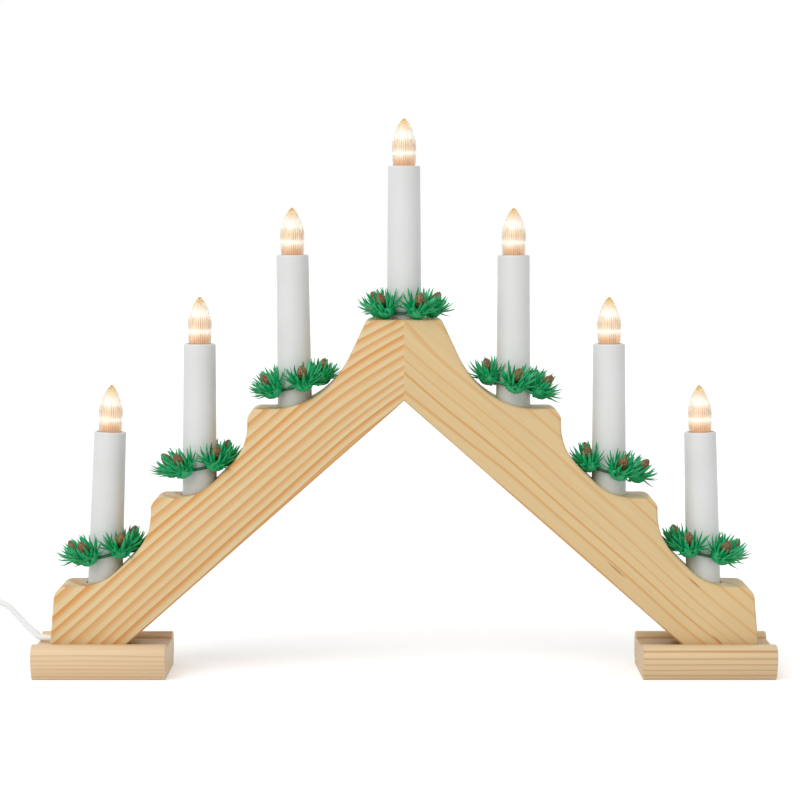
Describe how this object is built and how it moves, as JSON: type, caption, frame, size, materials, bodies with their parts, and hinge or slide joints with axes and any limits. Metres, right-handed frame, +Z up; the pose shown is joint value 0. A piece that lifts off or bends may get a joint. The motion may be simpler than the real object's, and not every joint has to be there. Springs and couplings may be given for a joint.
{
  "type": "candle arch",
  "caption": "wooden stepped candle arch on two moulded feet, with electric candles that hold screw-in flame lamps and rings of plastic fir and cones",
  "frame": {"origin": "on the floor under the apex, at the middle of the arch's footprint", "axes": "+X to the right candle, +Y to the back, +Z up"},
  "size_m": [0.5447, 0.3343, 0.3004],
  "materials": {
    "left_pine": "clear matt lacquer, wide orange grain",
    "right_pine": "clear matt lacquer, paler fine grain",
    "left_foot_pine": "clear matt lacquer, moulded edge",
    "right_foot_pine": "clear matt lacquer, strong grain lines",
    "hardboard": "plain thin board",
    "beech": "bare wood",
    "screw_steel": "zinc plated",
    "contact_brass": "plain stamped brass",
    "wire_white": "single core insulation",
    "cord_white": "smooth soft PVC",
    "tie_white": "plain strap",
    "plug_white": "smooth moulded PVC",
    "pin_nickel": "nickel plated",
    "candle_white": "satin off-white tube",
    "clear_cover": "clear fluted plastic",
    "lamp_cap": "rolled screw cap",
    "solder": "dull solder",
    "fir_green": "bright green moulded needles",
    "hoop_green": "thin dark green hoop",
    "cone_brown": "bronze-brown ribbed cone"
  },
  "bodies": {
    "arch": {"left_leg": "left_pine", "right_leg": "right_pine", "left_foot": "left_foot_pine", "right_foot": "right_foot_pine", "left_cover_strip": "hardboard", "right_cover_strip": "hardboard", "foot_screws": "screw_steel", "apex_keys": "beech", "lampholders": "contact_brass", "series_wires": "wire_white", "cord_gland": "cord_white", "cord": "cord_white", "cord_coil": "cord_white", "coil_tie": "tie_white", "plug_body": "plug_white", "plug_pins": "pin_nickel", "candle_sleeves": "candle_white"},
    "lamp_lift_1": {"lamp_tip_1": "solder"},
    "lamp_1": {"lamp_cover_1": "clear_cover", "lamp_cap_1": "lamp_cap"},
    "sprig_ring_1": {"hoop_1": "hoop_green", "sprigs_1": "fir_green", "cones_1": "cone_brown"},
    "lamp_lift_2": {"lamp_tip_2": "solder"},
    "lamp_2": {"lamp_cover_2": "clear_cover", "lamp_cap_2": "lamp_cap"},
    "sprig_ring_2": {"hoop_2": "hoop_green", "sprigs_2": "fir_green", "cones_2": "cone_brown"},
    "lamp_lift_3": {"lamp_tip_3": "solder"},
    "lamp_3": {"lamp_cover_3": "clear_cover", "lamp_cap_3": "lamp_cap"},
    "sprig_ring_3": {"hoop_3": "hoop_green", "sprigs_3": "fir_green", "cones_3": "cone_brown"},
    "lamp_lift_4": {"lamp_tip_4": "solder"},
    "lamp_4": {"lamp_cover_4": "clear_cover", "lamp_cap_4": "lamp_cap"},
    "sprig_ring_4": {"hoop_4": "hoop_green", "sprigs_4": "fir_green", "cones_4": "cone_brown"},
    "lamp_lift_5": {"lamp_tip_5": "solder"},
    "lamp_5": {"lamp_cover_5": "clear_cover", "lamp_cap_5": "lamp_cap"},
    "sprig_ring_5": {"hoop_5": "hoop_green", "sprigs_5": "fir_green", "cones_5": "cone_brown"},
    "lamp_lift_6": {"lamp_tip_6": "solder"},
    "lamp_6": {"lamp_cover_6": "clear_cover", "lamp_cap_6": "lamp_cap"},
    "sprig_ring_6": {"hoop_6": "hoop_green", "sprigs_6": "fir_green", "cones_6": "cone_brown"},
    "lamp_lift_7": {"lamp_tip_7": "solder"},
    "lamp_7": {"lamp_cover_7": "clear_cover", "lamp_cap_7": "lamp_cap"},
    "sprig_ring_7": {"hoop_7": "hoop_green", "sprigs_7": "fir_green", "cones_7": "cone_brown"}
  },
  "joints": [
    {"name": "lamp_1_rise", "type": "slide", "parent": "arch", "child": "lamp_lift_1", "axis": [0.0419, 0, 0.9991], "range_m": [0, 0.00726]},
    {"name": "lamp_1_turn", "type": "hinge", "parent": "lamp_lift_1", "child": "lamp_1", "pos_m": [-0.16342, 0, 0.02985], "axis": [0.0419, 0, 0.9991], "range_deg": [0, 1440]},
    {"name": "sprig_ring_1_lift", "type": "slide", "parent": "arch", "child": "sprig_ring_1", "axis": [0.0419, 0, 0.9991], "range_m": [0, 0.055]},
    {"name": "lamp_2_rise", "type": "slide", "parent": "arch", "child": "lamp_lift_2", "axis": [0.007, 0, 1], "range_m": [0, 0.00726]},
    {"name": "lamp_2_turn", "type": "hinge", "parent": "lamp_lift_2", "child": "lamp_2", "pos_m": [-0.11107, 0, 0.07739], "axis": [0.007, 0, 1], "range_deg": [0, 1440]},
    {"name": "sprig_ring_2_lift", "type": "slide", "parent": "arch", "child": "sprig_ring_2", "axis": [0.007, 0, 1], "range_m": [0, 0.055]},
    {"name": "lamp_3_rise", "type": "slide", "parent": "arch", "child": "lamp_lift_3", "axis": [-0.0122, 0, 0.9999], "range_m": [0, 0.00726]},
    {"name": "lamp_3_turn", "type": "hinge", "parent": "lamp_lift_3", "child": "lamp_3", "pos_m": [-0.05888, 0, 0.12531], "axis": [-0.0122, 0, 0.9999], "range_deg": [0, 1440]},
    {"name": "sprig_ring_3_lift", "type": "slide", "parent": "arch", "child": "sprig_ring_3", "axis": [-0.0122, 0, 0.9999], "range_m": [0, 0.055]},
    {"name": "lamp_4_rise", "type": "slide", "parent": "arch", "child": "lamp_lift_4", "axis": [0, 0, 1], "range_m": [0, 0.00726]},
    {"name": "lamp_4_turn", "type": "hinge", "parent": "lamp_lift_4", "child": "lamp_4", "pos_m": [0, 0, 0.17306], "axis": [0, 0, 1], "range_deg": [0, 1440]},
    {"name": "sprig_ring_4_lift", "type": "slide", "parent": "arch", "child": "sprig_ring_4", "axis": [0, 0, 1], "range_m": [0, 0.055]},
    {"name": "lamp_5_rise", "type": "slide", "parent": "arch", "child": "lamp_lift_5", "axis": [0, 0, 1], "range_m": [0, 0.00726]},
    {"name": "lamp_5_turn", "type": "hinge", "parent": "lamp_lift_5", "child": "lamp_5", "pos_m": [0.059, 0, 0.12519], "axis": [0, 0, 1], "range_deg": [0, 1440]},
    {"name": "sprig_ring_5_lift", "type": "slide", "parent": "arch", "child": "sprig_ring_5", "axis": [0, 0, 1], "range_m": [0, 0.055]},
    {"name": "lamp_6_rise", "type": "slide", "parent": "arch", "child": "lamp_lift_6", "axis": [-0.0035, 0, 1], "range_m": [0, 0.00726]},
    {"name": "lamp_6_turn", "type": "hinge", "parent": "lamp_lift_6", "child": "lamp_6", "pos_m": [0.11103, 0, 0.07735], "axis": [-0.0035, 0, 1], "range_deg": [0, 1440]},
    {"name": "sprig_ring_6_lift", "type": "slide", "parent": "arch", "child": "sprig_ring_6", "axis": [-0.0035, 0, 1], "range_m": [0, 0.055]},
    {"name": "lamp_7_rise", "type": "slide", "parent": "arch", "child": "lamp_lift_7", "axis": [-0.0297, 0, 0.9996], "range_m": [0, 0.00726]},
    {"name": "lamp_7_turn", "type": "hinge", "parent": "lamp_lift_7", "child": "lamp_7", "pos_m": [0.1633, 0, 0.02973], "axis": [-0.0297, 0, 0.9996], "range_deg": [0, 1440]},
    {"name": "sprig_ring_7_lift", "type": "slide", "parent": "arch", "child": "sprig_ring_7", "axis": [-0.0297, 0, 0.9996], "range_m": [0, 0.055]}
  ],
  "couplings": [
    {"joint": "lamp_1_rise", "follows": "lamp_1_turn", "m_per_rad": 0.00028871},
    {"joint": "lamp_2_rise", "follows": "lamp_2_turn", "m_per_rad": 0.00028871},
    {"joint": "lamp_3_rise", "follows": "lamp_3_turn", "m_per_rad": 0.00028871},
    {"joint": "lamp_4_rise", "follows": "lamp_4_turn", "m_per_rad": 0.00028871},
    {"joint": "lamp_5_rise", "follows": "lamp_5_turn", "m_per_rad": 0.00028871},
    {"joint": "lamp_6_rise", "follows": "lamp_6_turn", "m_per_rad": 0.00028871},
    {"joint": "lamp_7_rise", "follows": "lamp_7_turn", "m_per_rad": 0.00028871}
  ]
}
